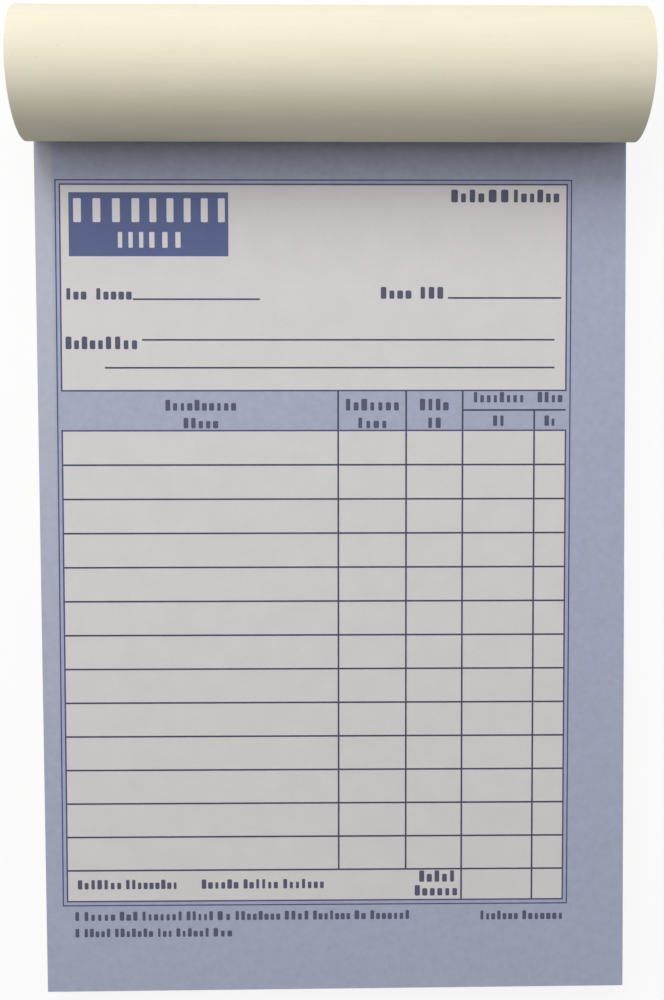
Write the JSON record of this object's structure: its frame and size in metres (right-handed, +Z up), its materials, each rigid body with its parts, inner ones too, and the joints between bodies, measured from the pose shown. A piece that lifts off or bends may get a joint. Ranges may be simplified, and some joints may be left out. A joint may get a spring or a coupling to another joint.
{
  "type": "triplicate memo book",
  "caption": "Head-bound memo book of printed form sets, each in three copies, with leaves that lift, a back board and a card cover rolled back over the head and tucked under the pad.",
  "frame": {"origin": "under the middle of the whole book, on the surface that it lies on", "axes": "+Y from the foot of the page to the bound head, +Z up out of the page, +X across the page to the right"},
  "size_m": [0.14, 0.2308, 0.0327],
  "materials": {
    "cover_card": "uncoated cream card, matt",
    "back_board": "raw greyboard with recycled fibres",
    "binding_tape": "dark blue binding cloth, fine plain weave",
    "staple_wire": "bright stitching wire",
    "original_paper": "white form paper printed in blue, matt",
    "duplicate_paper": "pink form paper printed in blue, matt",
    "triplicate_paper": "yellow form paper printed in blue, matt",
    "set_paper": "cut edges of white, pink and yellow form paper"
  },
  "bodies": {
    "book": {"back_board": "back_board", "binding_tape": "binding_tape", "staple_left": "staple_wire", "staple_right": "staple_wire", "original_stub": "original_paper", "duplicate_stub": "duplicate_paper", "triplicate_stub": "triplicate_paper", "set_02": "set_paper", "set_03": "set_paper", "set_04": "set_paper", "set_05": "set_paper", "set_06": "set_paper", "set_07": "set_paper", "set_08": "set_paper", "set_09": "set_paper", "set_10": "set_paper", "set_11": "set_paper", "set_12": "set_paper", "set_13": "set_paper", "set_14": "set_paper", "set_15": "set_paper", "set_16": "set_paper", "set_17": "set_paper", "set_18": "set_paper", "set_19": "set_paper", "set_20": "set_paper", "set_21": "set_paper", "set_22": "set_paper", "set_23": "set_paper", "set_24": "set_paper", "set_25": "set_paper"},
    "cover": {"front_cover": "cover_card"},
    "triplicate": {"triplicate_leaf": "triplicate_paper"},
    "duplicate": {"duplicate_leaf": "duplicate_paper"},
    "original": {"original_leaf": "original_paper"}
  },
  "joints": [
    {"name": "cover_turn", "type": "hinge", "parent": "book", "child": "cover", "pos_m": [0, 0.10083, 0.01814], "axis": [1, 0, 0], "range_deg": [0, 180], "deforming": ["front_cover"]},
    {"name": "triplicate_lift", "type": "hinge", "parent": "book", "child": "triplicate", "pos_m": [0, 0.08951, 0.00756], "axis": [-1, 0, 0], "range_deg": [0, 20]},
    {"name": "duplicate_lift", "type": "hinge", "parent": "triplicate", "child": "duplicate", "pos_m": [0, 0.08951, 0.00764], "axis": [-1, 0, 0], "range_deg": [0, 20]},
    {"name": "original_lift", "type": "hinge", "parent": "duplicate", "child": "original", "pos_m": [0, 0.08951, 0.00771], "axis": [-1, 0, 0], "range_deg": [0, 20]}
  ]
}
